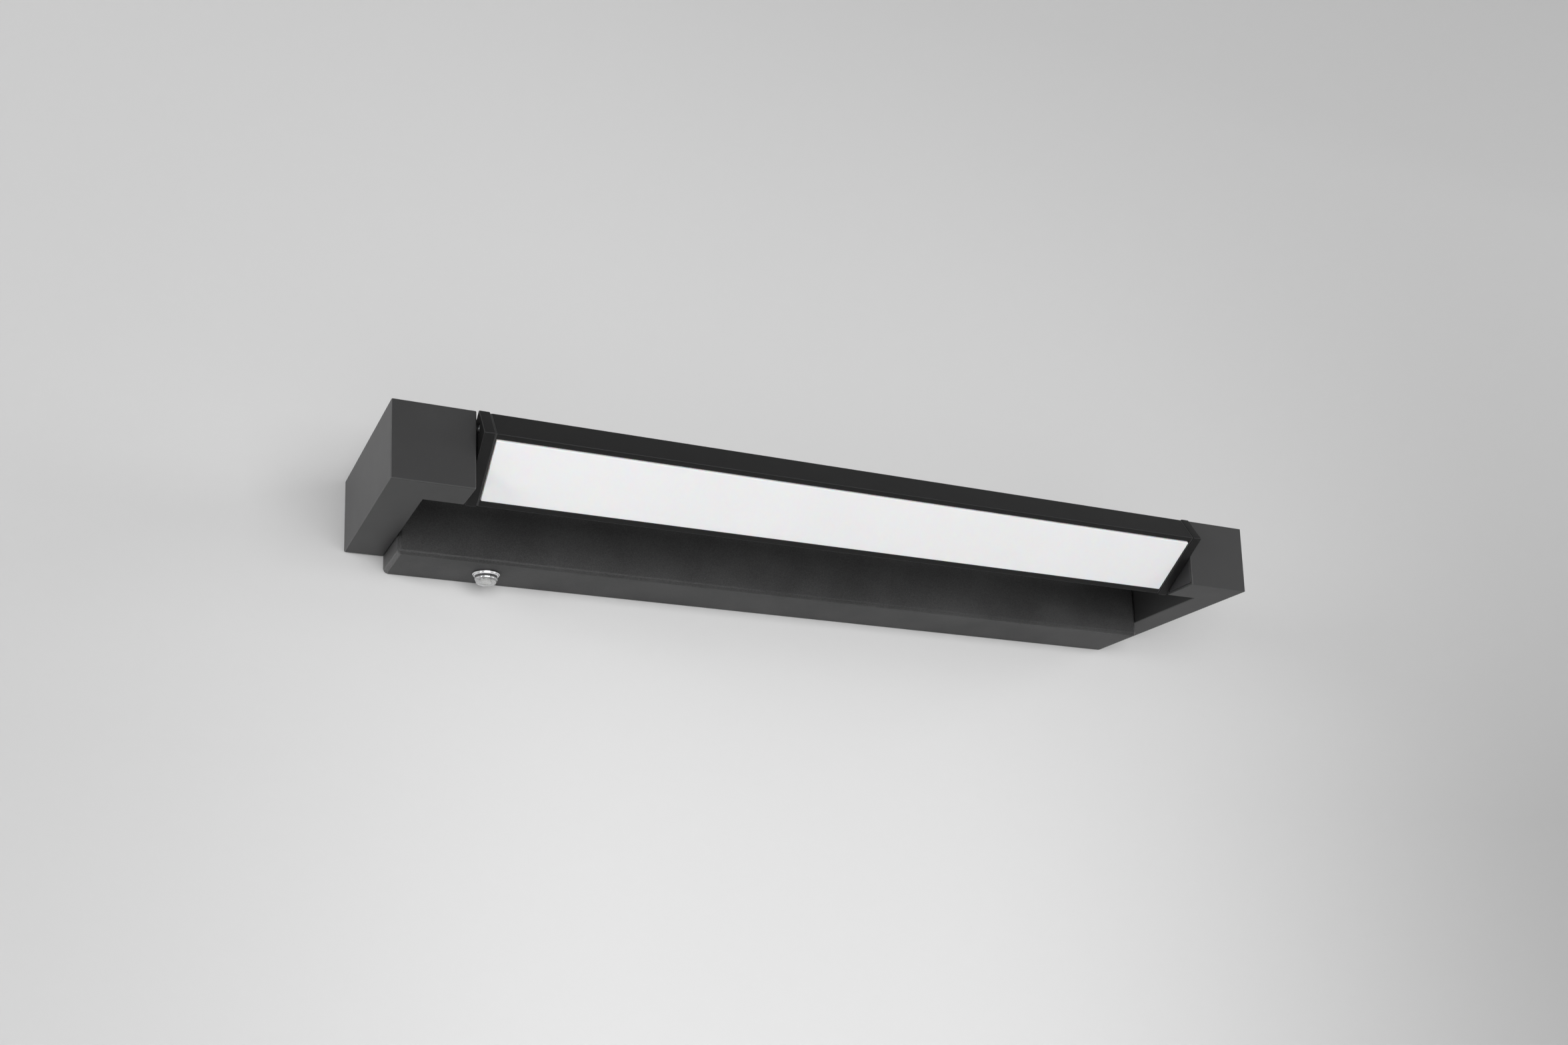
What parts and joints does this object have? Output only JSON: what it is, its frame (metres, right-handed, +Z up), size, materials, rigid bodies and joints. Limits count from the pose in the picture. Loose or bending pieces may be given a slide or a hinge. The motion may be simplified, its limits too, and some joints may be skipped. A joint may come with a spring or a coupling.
{
  "type": "bathroom wall light",
  "caption": "Bathroom wall light: a slim LED bar with an opal diffuser tilts between square tube arms on a box-shaped wall canopy with a booted push switch.",
  "frame": {"origin": "centre of the wall plate's back face, which lies on the wall, at the height of the tilt axis", "axes": "+X along the light to its right end as seen from the room, +Y into the wall, +Z up"},
  "size_m": [0.6, 0.1485, 0.0751],
  "materials": {
    "arm_paint": "matte anthracite powder coat",
    "canopy_paint": "fine textured black powder coat",
    "head_paint": "satin black powder coat",
    "opal": "satin opal white",
    "chrome": "polished",
    "steel": "zinc plated",
    "black_plastic": "matte",
    "white_plastic": "matte",
    "rubber": "matte",
    "clear_rubber": "clear, satin",
    "board_white": "solder resist",
    "tape_grey": "matte",
    "wire_brown": "satin",
    "wire_blue": "satin",
    "wire_green": "satin"
  },
  "bodies": {
    "base": {"wall_plate": "steel", "left_canopy_screw": "steel", "right_canopy_screw": "steel", "left_driver_screw": "steel", "right_driver_screw": "steel", "terminal_screw": "steel", "earth_lug": "steel", "earth_screw": "steel", "mains_grommet": "rubber", "lead_grommet": "rubber", "canopy_cover": "canopy_paint", "led_driver": "white_plastic", "terminal_block": "white_plastic", "live_wire": "wire_brown", "switched_wire": "wire_brown", "neutral_wire": "wire_blue", "earth_wire": "wire_green", "led_lead": "black_plastic", "left_arm": "arm_paint", "left_nut_plate": "steel", "left_arm_bolt_lower": "steel", "left_arm_bolt_upper": "steel", "left_plug_screw": "steel", "left_arm_foot": "black_plastic", "left_stub_plug": "black_plastic", "right_arm": "arm_paint", "right_nut_plate": "steel", "right_arm_bolt_lower": "steel", "right_arm_bolt_upper": "steel", "right_plug_screw": "steel", "right_arm_foot": "black_plastic", "right_stub_plug": "black_plastic", "stop_pin": "steel", "switch_spring": "steel", "switch_flange": "chrome", "switch_boot_ring": "chrome", "switch_body": "black_plastic", "switch_boot": "clear_rubber"},
    "head": {"left_end_cap": "head_paint", "left_cap_gasket": "rubber", "left_cap_screw_front": "steel", "left_cap_screw_rear": "steel", "left_axle": "steel", "left_disc_spring": "steel", "left_axle_nut": "steel", "left_friction_washer": "white_plastic", "right_end_cap": "head_paint", "right_cap_gasket": "rubber", "right_cap_screw_front": "steel", "right_cap_screw_rear": "steel", "right_axle": "steel", "right_disc_spring": "steel", "right_axle_nut": "steel", "right_friction_washer": "white_plastic", "head_profile": "head_paint", "diffuser": "opal", "led_board": "board_white", "thermal_tape": "tape_grey", "board_connector": "white_plastic"},
    "button": {"switch_button": "white_plastic"}
  },
  "joints": [
    {"name": "head_tilt", "type": "hinge", "parent": "base", "child": "head", "pos_m": [0, -0.12185, 0], "axis": [1, 0, 0], "range_deg": [-145.5, 34.5]},
    {"name": "switch_press", "type": "slide", "parent": "base", "child": "button", "axis": [0, 0, 1], "range_m": [0, 0.0015], "stiffness_N_per_m": 400, "springref_m": -0.003, "deforming": ["switch_spring", "switch_boot"]}
  ]
}
